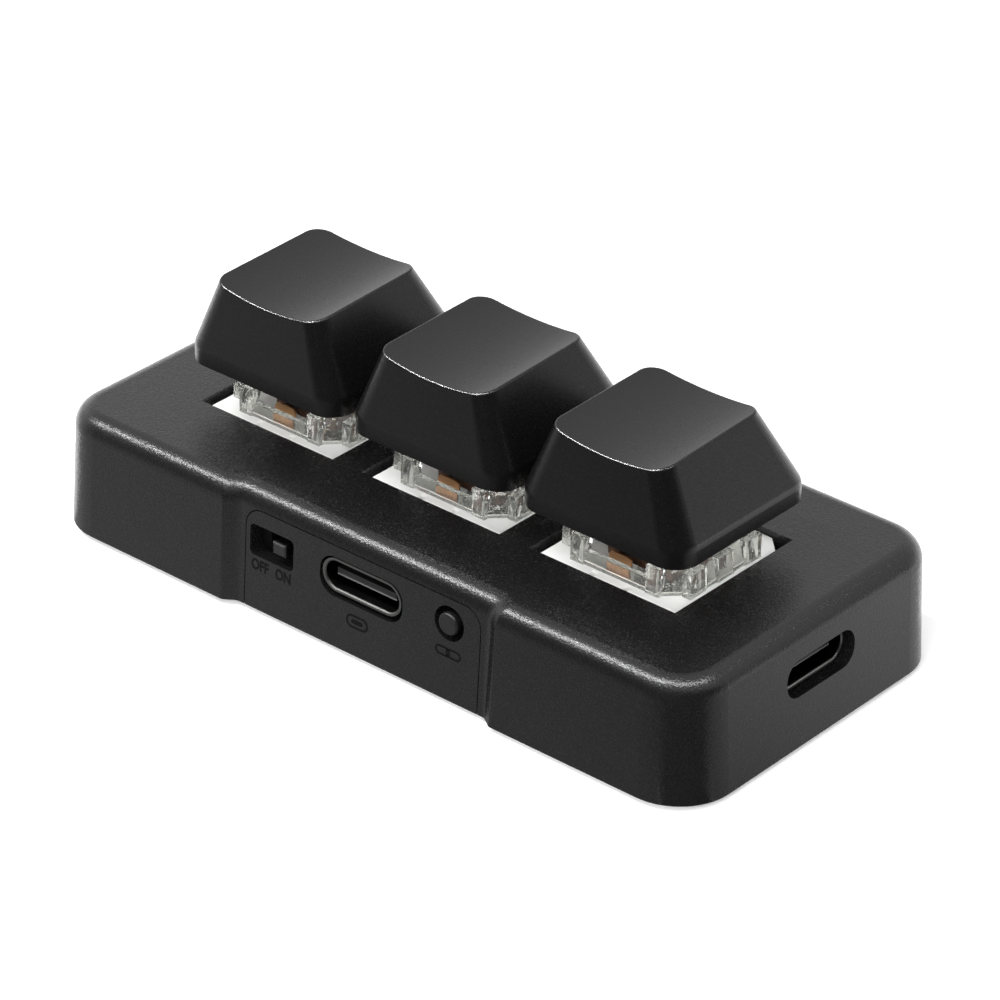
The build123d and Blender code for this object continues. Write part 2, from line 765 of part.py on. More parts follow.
# Upper housing of a switch: clear frustum with a window before the leaf, posts beside it and side legs
with BuildPart() as upper_housing:
    add(upper_outline(flange_top, 0))
    add(upper_outline(upper_top, 0))
    loft(ruled=True)
    with BuildSketch(Plane.XY.offset(flange_top)):
        with GridLocations(upper_length + 2 * post_proud - post_thick, leg_pitch, 2, leg_count):
            Rectangle(post_thick, leg_width)
    extrude(amount=leg_height)
    with BuildSketch(Plane.XY.offset(flange_top)):
        with Locations((0, (post_thick - upper_depth) / 2 - post_proud)):
            with GridLocations(leaf_window_width + post_width, 0, 2, 1):
                Rectangle(post_width, post_thick)
    extrude(amount=post_height)
    add(upper_outline(flange_top, upper_wall))
    add(upper_outline(upper_ceiling, upper_wall))
    loft(ruled=True, mode=Mode.SUBTRACT)
    with BuildSketch(Plane.XY.offset(upper_ceiling)):
        Rectangle(stem_length + 2 * stem_gap, stem_depth + 2 * stem_gap)
    extrude(amount=upper_roof, mode=Mode.SUBTRACT)
    with BuildSketch(Plane.XZ):
        window_foot = flange_top + leaf_window_sill
        window_top = upper_ceiling - leaf_window_head
        with Locations((0, (window_foot + window_top) / 2)):
            Rectangle(leaf_window_width, window_top - window_foot)
    extrude(amount=upper_depth, mode=Mode.SUBTRACT)

# Stem: cross for the cap, shoulder, stop under the roof, spring bore, guide pole and contact cams
with BuildPart() as stem:
    with BuildSketch(Plane.XY.offset(stem_foot)):
        Rectangle(stem_length, stem_depth)
    extrude(amount=shoulder - stem_foot)
    with BuildSketch(Plane.XY.offset(stop_top)):
        Rectangle(stem_length + 2 * stop_proud_x, stem_depth + 2 * stop_proud_y)
    extrude(amount=-stop_thick)
    with BuildSketch(Plane.XY.offset(shoulder)):
        Rectangle(cross_span, cross_thick_y)
        Rectangle(cross_thick_x, cross_span)
    extrude(amount=cross_rise)
    with BuildSketch(Plane.XY.offset(stem_foot)):
        Circle(spring_bore / 2)
    extrude(amount=bore_top - stem_foot, mode=Mode.SUBTRACT)
    with BuildSketch(Plane.XY.offset(pole_end)):
        Circle(pole_diameter / 2)
    extrude(amount=bore_top - pole_end)
    with BuildSketch(Plane.XY.offset(stem_foot)):
        with Locations((0, -(stem_depth + cam_reach) / 2)):
            with GridLocations(2 * cam_spread, 0, 2, 1):
                Rectangle(cam_width, cam_reach)
    extrude(amount=stop_top - stop_thick - stem_foot)

# Return spring: the sleeve that its turns fill, from the housing floor to the top of the bore
with BuildPart() as spring:
    with BuildSketch(Plane.XY.offset(housing_floor + spring_end_gap)):
        Circle(spring_outer / 2)
        Circle(spring_inner / 2, mode=Mode.SUBTRACT)
    extrude(amount=bore_top - housing_floor - 2 * spring_end_gap)

# Contact leaf: a sheet with a springy arm above its wide root, and its pin
with BuildPart() as contact_leaf:
    with BuildSketch(Plane.XZ.offset(-leaf_y - contact_sheet / 2)) as leaf_outline:
        with Locations((0, housing_floor + leaf_root_height / 2)):
            Rectangle(leaf_root_width, leaf_root_height)
        with Locations((leaf_arm_shift, (housing_floor + leaf_top) / 2)):
            Rectangle(leaf_arm_width, leaf_top - housing_floor)
        fillet(leaf_outline.vertices().group_by(Axis.Y)[-1], leaf_arm_round)
        with Locations((leaf_pin_x, (pin_end + housing_floor) / 2)):
            Rectangle(contact_pin_width, housing_floor - pin_end)
    extrude(amount=contact_sheet)

# Fixed contact: a standing sheet on a foot along the housing floor, and its pin
with BuildPart() as fixed_contact:
    foot_left = -fixed_width / 2
    foot_right = fixed_pin_x + contact_pin_width / 2
    foot_front = fixed_plate_y - contact_sheet / 2
    foot_back = fixed_pin_y + contact_sheet / 2
    with BuildSketch(Plane.XY.offset(housing_floor)):
        with Locations(((foot_left + foot_right) / 2, (foot_front + foot_back) / 2)):
            Rectangle(foot_right - foot_left, foot_back - foot_front)
    extrude(amount=contact_sheet)
    with BuildSketch(Plane.XY.offset(housing_floor)):
        with Locations((0, fixed_plate_y)):
            Rectangle(fixed_width, contact_sheet)
    extrude(amount=fixed_height)
    with BuildSketch(Plane.XY.offset(housing_floor)):
        with Locations((fixed_pin_x, fixed_pin_y)):
            Rectangle(contact_pin_width, contact_sheet)
    extrude(amount=pin_end - housing_floor)


def cap_outline(share, inset):
    """Cap outline at a share of the way from its skirt to its rim, drawn in by the inset."""
    length = cap_base_length + share * (cap_top_length - cap_base_length)
    depth = cap_base_depth + share * (cap_top_depth - cap_base_depth)
    corner = cap_base_round + share * (cap_top_round - cap_base_round)
    with BuildSketch(Plane.XY) as outline:
        with Locations((0, share * cap_top_shift)):
            RectangleRounded(length - 2 * inset, depth - 2 * inset, max(corner - inset, corner / 3))
    return outline.sketch


# Keycap: skirt and leaning sides drawn a little past the rim, cut by the dish, then hollowed from below
with BuildPart() as keycap:
    lean_height = cap_height - cap_skirt
    over_share = 1 + cap_dish / lean_height
    add(cap_outline(0, 0).moved(Location((0, 0, cap_bottom))))
    add(cap_outline(0, 0).moved(Location((0, 0, cap_skirt_top))))
    add(cap_outline(over_share, 0).moved(Location((0, 0, cap_skirt_top + over_share * lean_height))))
    loft(ruled=True)
    fillet(keycap.edges().filter_by_position(Axis.Z, cap_skirt_top, cap_skirt_top), cap_skirt_round)
    dish_radius = (cap_top_length**2 / 4 + cap_dish**2) / (2 * cap_dish)
    dish_axis_lean = radians(cap_top_tilt)
    dish_plane = Plane(
        origin=(
            0,
            cap_top_shift - (dish_radius - cap_dish) * sin(dish_axis_lean),
            cap_rim + (dish_radius - cap_dish) * cos(dish_axis_lean),
        ),
        x_dir=(1, 0, 0),
        z_dir=(0, cos(dish_axis_lean), sin(dish_axis_lean)),
    )
    with BuildSketch(dish_plane):
        Circle(dish_radius)
    extrude(amount=cap_base_depth, both=True, mode=Mode.SUBTRACT)
    dish_face = keycap.faces().filter_by(GeomType.CYLINDER).sort_by(SortBy.AREA)[-1]
    fillet(dish_face.edges(), cap_edge_round)
    inner_share = (cap_ceiling - cap_skirt_top) / lean_height
    add(cap_outline(0, cap_wall).moved(Location((0, 0, cap_bottom))))
    add(cap_outline(0, cap_wall).moved(Location((0, 0, cap_skirt_top))))
    add(cap_outline(inner_share, cap_wall).moved(Location((0, 0, cap_ceiling))))
    loft(ruled=True, mode=Mode.SUBTRACT)
    with BuildSketch(Plane.XY.offset(shoulder)):
        Circle(boss_diameter / 2)
    extrude(amount=cap_ceiling - shoulder)
    with BuildSketch(Plane.XY.offset(shoulder)):
        Rectangle(cross_span + 2 * socket_gap, cross_thick_y + 2 * socket_gap)
        Rectangle(cross_thick_x + 2 * socket_gap, cross_span + 2 * socket_gap)
    extrude(amount=cross_rise + socket_extra, mode=Mode.SUBTRACT)

# The same switch and cap stand at each place in the row
switch_pieces = {
    "cap": keycap,
    "stem": stem,
    "upper_housing": upper_housing,
    "lower_housing": lower_housing,
    "spring": spring,
    "contact_leaf": contact_leaf,
    "fixed_contact": fixed_contact,
}
for key in range(key_count):
    key_place = Location(((key - (key_count - 1) / 2) * key_pitch, 0, 0))
    for name, piece in switch_pieces.items():
        placed = piece.part.moved(key_place)
        placed.label = f"key_{key + 1}_{name}"
        export_step(placed, f"parts/key_{key + 1}_{name}.step")
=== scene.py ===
"""Looks of the mini keypad: finishes, wound springs, socket contacts and signs on its solids.

Metres, +Z up. The port panel faces -Y and the keys stand in a row along X.
"""
from math import cos, radians, sin, tan

import bpy
from mathutils import Matrix, Quaternion, Vector


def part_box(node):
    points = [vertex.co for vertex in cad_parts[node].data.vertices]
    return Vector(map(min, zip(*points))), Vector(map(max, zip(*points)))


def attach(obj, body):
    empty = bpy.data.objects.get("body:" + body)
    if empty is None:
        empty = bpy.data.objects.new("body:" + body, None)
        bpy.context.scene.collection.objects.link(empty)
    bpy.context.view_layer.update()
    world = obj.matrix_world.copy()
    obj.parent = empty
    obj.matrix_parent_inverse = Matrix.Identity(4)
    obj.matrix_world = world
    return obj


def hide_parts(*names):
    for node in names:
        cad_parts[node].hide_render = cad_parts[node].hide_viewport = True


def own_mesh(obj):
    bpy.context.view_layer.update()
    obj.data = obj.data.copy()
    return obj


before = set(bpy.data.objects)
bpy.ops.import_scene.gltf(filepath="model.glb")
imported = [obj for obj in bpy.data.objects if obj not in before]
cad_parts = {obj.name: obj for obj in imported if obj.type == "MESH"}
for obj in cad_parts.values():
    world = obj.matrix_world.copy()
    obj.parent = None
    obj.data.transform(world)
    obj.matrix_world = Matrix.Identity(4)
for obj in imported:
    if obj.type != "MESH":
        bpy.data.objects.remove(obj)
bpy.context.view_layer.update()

# Main board: glass-epoxy laminate under a dark green solder resist.
# It lies on four standoffs of the bottom cover, and the switches, sockets and controls stand on it.
mm = 0.001


def colour(code):
    """Linear colour, with full alpha, of an sRGB hex code."""
    levels = [int(code[at : at + 2], 16) / 255 for at in (1, 3, 5)]
    return [x / 12.92 if x <= 0.04045 else ((x + 0.055) / 1.055) ** 2.4 for x in levels] + [1.0]


def new_finish(name):
    """An empty finish under the name of the real material."""
    material = bpy.data.materials.new(name)
    material.use_nodes = True
    material.node_tree.nodes.clear()
    return material


def add_node(owner, kind, sockets, **settings):
    """Adds a node with its settings; each socket takes a value or the output that feeds it."""
    tree = owner.node_tree
    node = tree.nodes.new(kind)
    for name, value in settings.items():
        setattr(node, name, value)
    for name, value in sockets.items():
        if isinstance(value, bpy.types.NodeSocket):
            tree.links.new(value, node.inputs[name])
        else:
            node.inputs[name].default_value = value
    return node


def dress(material, *names):
    """Gives the named solids this finish."""
    for name in names:
        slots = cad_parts[name].data.materials
        slots.clear()
        slots.append(material)


# Tracks under the resist show as slightly paler lines, about a millimetre apart
track_spacing = 1.2 * mm
track_run = 6.0 * mm
track_width = 0.25 * mm
laminate = new_finish("glass_epoxy_green_resist")
place = add_node(laminate, "ShaderNodeTexCoord", {}).outputs["Object"]
tracks = add_node(
    laminate,
    "ShaderNodeTexBrick",
    {
        "Vector": place,
        "Color1": colour("#0d3d25"),
        "Color2": colour("#0f4229"),
        "Mortar": colour("#2a6a43"),
        "Scale": 1.0,
        "Mortar Size": track_width,
        "Mortar Smooth": 0.2,
        "Brick Width": track_run,
        "Row Height": track_spacing,
    },
)
resist = add_node(
    laminate,
    "ShaderNodeBsdfPrincipled",
    {"Base Color": tracks.outputs["Color"], "Roughness": 0.32, "IOR": 1.55},
)
add_node(laminate, "ShaderNodeOutputMaterial", {"Surface": resist.outputs["BSDF"]})
dress(laminate, "main_board")

# Battery: a slim pouch cell in aluminium laminate film, glued to the board behind the switches.
# The film is drawn tight over the cell, so it shines softly and is faintly creased.
crease = 2.5 * mm
crease_depth = 0.1 * mm
pouch_film = new_finish("aluminium_laminate_film")
place = add_node(pouch_film, "ShaderNodeTexCoord", {}).outputs["Object"]
creases = add_node(
    pouch_film,
    "ShaderNodeTexNoise",
    {"Vector": place, "Scale": 1 / crease, "Detail": 3.0},
)
film_bump = add_node(
    pouch_film,
    "ShaderNodeBump",
    {"Height": creases.outputs["Fac"], "Strength": 0.5, "Distance": crease_depth},
)
film = add_node(
    pouch_film,
    "ShaderNodeBsdfPrincipled",
    {
        "Base Color": colour("#c3c6ca"),
        "Metallic": 1.0,
        "Roughness": 0.34,
        "Normal": film_bump.outputs["Normal"],
    },
)
add_node(pouch_film, "ShaderNodeOutputMaterial", {"Surface": film.outputs["BSDF"]})
dress(pouch_film, "battery")

# Controller module: a small carrier board under a pressed lid of tinned steel.
# It is soldered to the main board, and tin has a dull shine with a cloudy crystal pattern.
carrier_thick = 1.0 * mm
lid_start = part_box("controller_module")[0].z + carrier_thick
# The lid's finish starts a hair higher, so that the top of the carrier still counts as laminate
lid_margin = 0.01 * mm
tin_cloud = 0.9 * mm
module_finish = new_finish("tinned_steel_lid_on_laminate")
place = add_node(module_finish, "ShaderNodeTexCoord", {}).outputs["Object"]
height = add_node(module_finish, "ShaderNodeSeparateXYZ", {"Vector": place}).outputs["Z"]
is_lid = add_node(
    module_finish,
    "ShaderNodeMath",
    {0: height, 1: lid_start + lid_margin},
    operation="GREATER_THAN",
).outputs["Value"]
cloud = add_node(module_finish, "ShaderNodeTexVoronoi", {"Vector": place, "Scale": 1 / tin_cloud})
tin_shine = add_node(
    module_finish,
    "ShaderNodeMapRange",
    {"Value": cloud.outputs["Distance"], "To Min": 0.28, "To Max": 0.42},
)
module_tint = add_node(
    module_finish,
    "ShaderNodeMixRGB",
    {"Fac": is_lid, "Color1": colour("#123f28"), "Color2": colour("#c9c8c3")},
)
module_shader = add_node(
    module_finish,
    "ShaderNodeBsdfPrincipled",
    {
        "Base Color": module_tint.outputs["Color"],
        "Metallic": is_lid,
        "Roughness": tin_shine.outputs["Result"],
    },
)
add_node(module_finish, "ShaderNodeOutputMaterial", {"Surface": module_shader.outputs["BSDF"]})
dress(module_finish, "controller_module")

# Sockets: a shell drawn from stainless steel round a black insulator with a flat tongue.
# Both are the standard small reversible socket, soldered to the board by the feet of the shell.
# The steel keeps its pale colour only at the lip; further in it is darkened with painted shade.
# Real draw lines are finer, and these are as coarse as they need to be to show
draw_line = 0.06 * mm
draw_length = 2.0 * mm
lip_width = 0.25 * mm


def shaded_socket_steel(shell, axis, lip, inwards):
    """Steel for a shell with its lip here on this axis: pale there, with painted shade further in.
    """
    plated = new_finish(f"dark_nickel_plated_steel_{axis.lower()}")
    place = add_node(plated, "ShaderNodeTexCoord", {}).outputs["Object"]
    drawn = add_node(
        plated,
        "ShaderNodeMapping",
        {"Vector": place, "Scale": (1 / draw_length, 1 / draw_length, 1 / draw_line)},
    )
    lines = add_node(
        plated,
        "ShaderNodeTexNoise",
        {"Vector": drawn.outputs["Vector"], "Scale": 1.0},
    )
    shine = add_node(
        plated,
        "ShaderNodeMapRange",
        {"Value": lines.outputs["Fac"], "To Min": 0.36, "To Max": 0.5},
    )
    depth = add_node(plated, "ShaderNodeSeparateXYZ", {"Vector": place}).outputs[axis]
    # Painted shade: the steel darkens from the lip inwards
    unshaded_lip_mask = add_node(
        plated,
        "ShaderNodeMapRange",
        {
            "Value": depth,
            "From Min": lip + inwards * lip_width,
            "From Max": lip + inwards * lip_width / 2,
            "To Min": 0.0,
            "To Max": 1.0,
        },
    )
    tint = add_node(
        plated,
        "ShaderNodeMixRGB",
        {"Fac": unshaded_lip_mask.outputs["Result"], "Color1": colour("#2c2c2c"), "Color2": colour("#80807e")},
    )
    steel = add_node(
        plated,
        "ShaderNodeBsdfPrincipled",
        {
            "Base Color": tint.outputs["Color"],
            "Metallic": 1.0,
            "Roughness": shine.outputs["Result"],
        },
    )
    add_node(plated, "ShaderNodeOutputMaterial", {"Surface": steel.outputs["BSDF"]})
    dress(plated, shell)


shaded_socket_steel("front_usb_shell", "Y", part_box("front_usb_shell")[0].y, 1)
shaded_socket_steel("side_usb_shell", "X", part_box("side_usb_shell")[1].x, -1)

# Insulators: black liquid-crystal polymer, moulded with the tongue and pushed into the shell.
# It is dense and half matt, with faint streaks from its flow in the mould.
# A pale line of painted highlight runs along the lower edge of the tongue's tip.
flow_streak = 0.5 * mm
tongue_thick = 0.7 * mm
socket_height = 3.26 * mm
painted_highlight_width = 0.2 * mm
painted_highlight_depth = 0.05 * mm


def insulator_polymer(insulator, tongue_z, axis, tip, inwards):
    """Polymer for an insulator whose tongue ends at tip on this axis, at this height."""
    polymer = new_finish(f"liquid_crystal_polymer_black_{axis.lower()}")
    place = add_node(polymer, "ShaderNodeTexCoord", {}).outputs["Object"]
    streaks = add_node(
        polymer,
        "ShaderNodeTexNoise",
        {"Vector": place, "Scale": 1 / flow_streak, "Detail": 2.0, "Distortion": 1.0},
    )
    shine = add_node(
        polymer,
        "ShaderNodeMapRange",
        {"Value": streaks.outputs["Fac"], "To Min": 0.32, "To Max": 0.5},
    )
    parts = add_node(polymer, "ShaderNodeSeparateXYZ", {"Vector": place})
    at_tip = add_node(
        polymer,
        "ShaderNodeMapRange",
        {
            "Value": parts.outputs[axis],
            "From Min": tip + inwards * 2 * painted_highlight_depth,
            "From Max": tip + inwards * painted_highlight_depth,
            "To Min": 0.0,
            "To Max": 1.0,
        },
    )
    at_edge = add_node(
        polymer,
        "ShaderNodeMapRange",
        {
            "Value": parts.outputs["Z"],
            "From Min": tongue_z - tongue_thick / 2 + painted_highlight_width,
            "From Max": tongue_z - tongue_thick / 2 + painted_highlight_width / 2,
            "To Min": 0.0,
            "To Max": 1.0,
        },
    )
    # Painted highlight: a pale line along the lower edge of the tip
    painted_tip_highlight = add_node(
        polymer,
        "ShaderNodeMath",
        {0: at_tip.outputs["Result"], 1: at_edge.outputs["Result"]},
        operation="MULTIPLY",
    )
    tint = add_node(
        polymer,
        "ShaderNodeMixRGB",
        {
            "Fac": painted_tip_highlight.outputs["Value"],
            "Color1": colour("#101011"),
            "Color2": colour("#545454"),
        },
    )
    face = add_node(
        polymer,
        "ShaderNodeBsdfPrincipled",
        {"Base Color": tint.outputs["Color"], "Roughness": shine.outputs["Result"], "IOR": 1.6},
    )
    add_node(polymer, "ShaderNodeOutputMaterial", {"Surface": face.outputs["BSDF"]})
    dress(polymer, insulator)


front_tongue_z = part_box("front_usb_shell")[1].z - socket_height / 2
side_tongue_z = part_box("side_usb_shell")[1].z - socket_height / 2
front_tip_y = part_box("front_usb_insulator")[0].y
side_tip_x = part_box("side_usb_insulator")[1].x
insulator_polymer("front_usb_insulator", front_tongue_z, "Y", front_tip_y, 1)
insulator_polymer("side_usb_insulator", side_tongue_z, "X", side_tip_x, -1)

# Contacts of the sockets: twelve gilt strips on each side of the tongue, let in when it is moulded.
# Gold over nickel keeps a warm even shine, a little worn where a plug rubs along it.
strip_count = 12
strip_pitch = 0.5 * mm
strip_width = 0.25 * mm
strip_length = 3.4 * mm
strip_proud = 0.02 * mm
strip_bevel = 0.005 * mm
strip_setback = 0.35 * mm
rub_mark = 0.3 * mm
gilt = new_finish("gold_plated_contact_alloy")
place = add_node(gilt, "ShaderNodeTexCoord", {}).outputs["Object"]
rubs = add_node(gilt, "ShaderNodeTexNoise", {"Vector": place, "Scale": 1 / rub_mark})
gilt_tint = add_node(
    gilt,
    "ShaderNodeMixRGB",
    {"Fac": rubs.outputs["Fac"], "Color1": colour("#d9b15f"), "Color2": colour("#c79a4d")},
)
gilt_shader = add_node(
    gilt,
    "ShaderNodeBsdfPrincipled",
    {"Base Color": gilt_tint.outputs["Color"], "Metallic": 1.0, "Roughness": 0.25},
)
add_node(gilt, "ShaderNodeOutputMaterial", {"Surface": gilt_shader.outputs["BSDF"]})


def only(obj):
    """Makes an object the one that is selected and active."""
    bpy.ops.object.select_all(action="DESELECT")
    obj.select_set(True)
    bpy.context.view_layer.objects.active = obj


def apply_modifier(obj, kind, **settings):
    """Finishes an object with a modifier of this kind, applied at once."""
    only(obj)
    modifier = obj.modifiers.new(kind.lower(), kind)
    for name, value in settings.items():
        setattr(modifier, name, value)
    bpy.ops.object.modifier_apply(modifier=modifier.name)


def settle(obj, material, turn=Matrix.Identity(4), shift=(0, 0, 0)):
    """Puts an object's place into its mesh, turned and then shifted, and gives it its finish."""
    obj.data.transform(Matrix.Translation(shift) @ turn @ obj.matrix_world)
    obj.matrix_world = Matrix.Identity(4)
    obj.data.materials.clear()
    obj.data.materials.append(material)


def tongue_contacts(name, turn, tip):
    """The strips on one tongue, drawn with its tip at the origin and the mouth towards -Y."""
    bpy.ops.object.select_all(action="DESELECT")
    bpy.ops.mesh.primitive_cube_add(size=1)
    strips = bpy.context.object
    strips.name = name
    first = -(strip_count - 1) / 2 * strip_pitch
    strips.scale = (strip_width, strip_length, strip_proud)
    strips.location = (first, strip_setback + strip_length / 2, (tongue_thick + strip_proud) / 2)
    bpy.ops.object.transform_apply(location=True, rotation=True, scale=True)
    apply_modifier(strips, "BEVEL", width=strip_bevel, segments=1)
    apply_modifier(
        strips,
        "ARRAY",
        count=strip_count,
        use_relative_offset=False,
        use_constant_offset=True,
        constant_offset_displace=(strip_pitch, 0, 0),
    )
    apply_modifier(strips, "MIRROR", use_axis=(False, False, True))
    settle(strips, gilt, turn, tip)
    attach(strips, "case")


low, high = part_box("front_usb_insulator")
front_tip = ((low.x + high.x) / 2, front_tip_y, front_tongue_z)
tongue_contacts("front_usb_contacts", Matrix.Identity(4), front_tip)
low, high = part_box("side_usb_insulator")
side_tip = (side_tip_x, (low.y + high.y) / 2, side_tongue_z)
quarter_turn = Matrix.Rotation(radians(90), 4, "Z")
tongue_contacts("side_usb_contacts", quarter_turn, side_tip)

# Slide switch, push button and tact switch: small mouldings in black nylon, smoother than the case.
# Pieces are paler at the front, and painted shade darkens them further back, as in the slide's
# window.
handling_patch = 0.8 * mm
# The real grain is finer, and is drawn this coarse so that it shows
nylon_grain = 0.08 * mm
nylon_grain_depth = 0.01 * mm
shade_start_depth = 0.35 * mm


def nylon_shaded_behind(name, black, pale, *pieces):
    """A nylon finish, paler at the front of these pieces and darkened behind with painted shade."""
    nylon = new_finish(name)
    place = add_node(nylon, "ShaderNodeTexCoord", {}).outputs["Object"]
    patches = add_node(nylon, "ShaderNodeTexNoise", {"Vector": place, "Scale": 1 / handling_patch})
    depth = add_node(nylon, "ShaderNodeSeparateXYZ", {"Vector": place}).outputs["Y"]
    front = min(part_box(piece)[0].y for piece in pieces)
    # Painted shade: the colour darkens from the front of the pieces backwards
    unshaded_front_mask = add_node(
        nylon,
        "ShaderNodeMapRange",
        {
            "Value": depth,
            "From Min": front + shade_start_depth,
            "From Max": front + shade_start_depth / 2,
            "To Min": 0.0,
            "To Max": 1.0,
        },
    )
    tint = add_node(
        nylon,
        "ShaderNodeMixRGB",
        {"Fac": unshaded_front_mask.outputs["Result"], "Color1": colour(black), "Color2": colour(pale)},
    )
    shine = add_node(
        nylon,
        "ShaderNodeMapRange",
        {"Value": patches.outputs["Fac"], "To Min": 0.36, "To Max": 0.5},
    )
    fine = add_node(nylon, "ShaderNodeTexNoise", {"Vector": place, "Scale": 1 / nylon_grain})
    bump = add_node(
        nylon,
        "ShaderNodeBump",
        {"Height": fine.outputs["Fac"], "Strength": 0.3, "Distance": nylon_grain_depth},
    )
    face = add_node(
        nylon,
        "ShaderNodeBsdfPrincipled",
        {
            "Base Color": tint.outputs["Color"],
            "Roughness": shine.outputs["Result"],
            "IOR": 1.5,
            "Normal": bump.outputs["Normal"],
        },
    )
    add_node(nylon, "ShaderNodeOutputMaterial", {"Surface": face.outputs["BSDF"]})
    dress(nylon, *pieces)


nylon_shaded_behind("moulded_nylon_knob_shaded_behind", "#060606", "#1a1a1b", "power_slider")
nylon_shaded_behind("moulded_nylon_button", "#0c0c0c", "#151515", "connect_button")
nylon_shaded_behind(
    "moulded_nylon_switch_bodies",
    "#060606",
    "#0a0a0a",
    "slide_switch_body",
    "tact_switch",
    "tact_plunger",
)

# Lower switch housings: white nylon mouldings, clipped into the square holes of the case.
# The plastic is a clean, slightly warm white with a soft satin face.
keys = (1, 2, 3)
white_cloud = 3.0 * mm
white_nylon = new_finish("moulded_nylon_white")
place = add_node(white_nylon, "ShaderNodeTexCoord", {}).outputs["Object"]
clouds = add_node(white_nylon, "ShaderNodeTexNoise", {"Vector": place, "Scale": 1 / white_cloud})
white_tint = add_node(
    white_nylon,
    "ShaderNodeMixRGB",
    {"Fac": clouds.outputs["Fac"], "Color1": colour("#f1f1ee"), "Color2": colour("#f8f8f6")},
)
white = add_node(
    white_nylon,
    "ShaderNodeBsdfPrincipled",
    {"Base Color": white_tint.outputs["Color"], "Roughness": 0.38, "IOR": 1.53},
)
add_node(white_nylon, "ShaderNodeOutputMaterial", {"Surface": white.outputs["BSDF"]})
dress(white_nylon, *[f"key_{key}_lower_housing" for key in keys])

# Switch contacts: strips blanked and bent from rolled copper alloy, pressed into the lower housing.
# Rolling leaves fine lines along the strip, and handling has browned it unevenly.
# Real roll lines are finer, and these are as coarse as they need to be to show
roll_line = 0.08 * mm
roll_length = 1.6 * mm
tarnish_patch = 1.5 * mm
copper_alloy = new_finish("rolled_copper_alloy")
place = add_node(copper_alloy, "ShaderNodeTexCoord", {}).outputs["Object"]
rolled = add_node(
    copper_alloy,
    "ShaderNodeMapping",
    {"Vector": place, "Scale": (1 / roll_line, 1 / roll_line, 1 / roll_length)},
)
roll_marks = add_node(
    copper_alloy,
    "ShaderNodeTexNoise",
    {"Vector": rolled.outputs["Vector"], "Scale": 1.0},
)
tarnish = add_node(
    copper_alloy,
    "ShaderNodeTexNoise",
    {"Vector": place, "Scale": 1 / tarnish_patch},
)
copper_tint = add_node(
    copper_alloy,
    "ShaderNodeMixRGB",
    {"Fac": tarnish.outputs["Fac"], "Color1": colour("#d8ab80"), "Color2": colour("#bf8d66")},
)
copper_shine = add_node(
    copper_alloy,
    "ShaderNodeMapRange",
    {"Value": roll_marks.outputs["Fac"], "To Min": 0.3, "To Max": 0.48},
)
copper = add_node(
    copper_alloy,
    "ShaderNodeBsdfPrincipled",
    {
        "Base Color": copper_tint.outputs["Color"],
        "Metallic": 1.0,
        "Roughness": copper_shine.outputs["Result"],
    },
)
add_node(copper_alloy, "ShaderNodeOutputMaterial", {"Surface": copper.outputs["BSDF"]})
dress(copper_alloy, *[f"key_{key}_contact_leaf" for key in keys])
dress(copper_alloy, *[f"key_{key}_fixed_contact" for key in keys])

# Return springs: bright steel wire, wound on a mandrel and dropped over each lower housing's guide.
# Each stands for the plain sleeve of its space.
spring_wire = 0.3 * mm
spring_turns = 11
turn_steps = 24
wire_sides = 10
weld_gap = spring_wire / 1000
end_angle = radians(50)
# Marks of the drawing die, wider than real ones so that they show
die_mark = 0.2 * mm
spring_steel = new_finish("bright_spring_steel_wire")
place = add_node(spring_steel, "ShaderNodeTexCoord", {}).outputs["Object"]
die_marks = add_node(spring_steel, "ShaderNodeTexNoise", {"Vector": place, "Scale": 1 / die_mark})
wire_shine = add_node(
    spring_steel,
    "ShaderNodeMapRange",
    {"Value": die_marks.outputs["Fac"], "To Min": 0.18, "To Max": 0.32},
)
wire = add_node(
    spring_steel,
    "ShaderNodeBsdfPrincipled",
    {"Base Color": colour("#bdbdbb"), "Metallic": 1.0, "Roughness": wire_shine.outputs["Result"]},
)
add_node(spring_steel, "ShaderNodeOutputMaterial", {"Surface": wire.outputs["BSDF"]})
for key in keys:
    low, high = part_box(f"key_{key}_spring")
    coil_radius = (high.y - low.y) / 2 - spring_wire / 2
    length = high.z - low.z
    bpy.ops.object.select_all(action="DESELECT")
    bpy.ops.mesh.primitive_circle_add(
        vertices=wire_sides,
        radius=spring_wire / 2,
        location=(coil_radius, 0, spring_wire / 2),
        rotation=(radians(90), 0, 0),
    )
    spring = bpy.context.object
    spring.name = f"key_{key}_wound_spring"
    bpy.ops.object.transform_apply(location=True, rotation=True, scale=True)
    apply_modifier(
        spring,
        "SCREW",
        screw_offset=(length - spring_wire) / spring_turns,
        iterations=spring_turns,
        steps=turn_steps,
        render_steps=turn_steps,
    )
    bpy.ops.object.mode_set(mode="EDIT")
    bpy.ops.mesh.select_all(action="SELECT")
    bpy.ops.mesh.remove_doubles(threshold=weld_gap)
    bpy.ops.mesh.fill_holes(sides=0)
    bpy.ops.mesh.normals_make_consistent(inside=False)
    bpy.ops.object.mode_set(mode="OBJECT")
    bpy.ops.object.shade_smooth_by_angle(angle=end_angle)
    settle(spring, spring_steel, shift=((low.x + high.x) / 2, 0, low.z))
    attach(spring, "case")
    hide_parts(f"key_{key}_spring")
    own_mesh(spring)

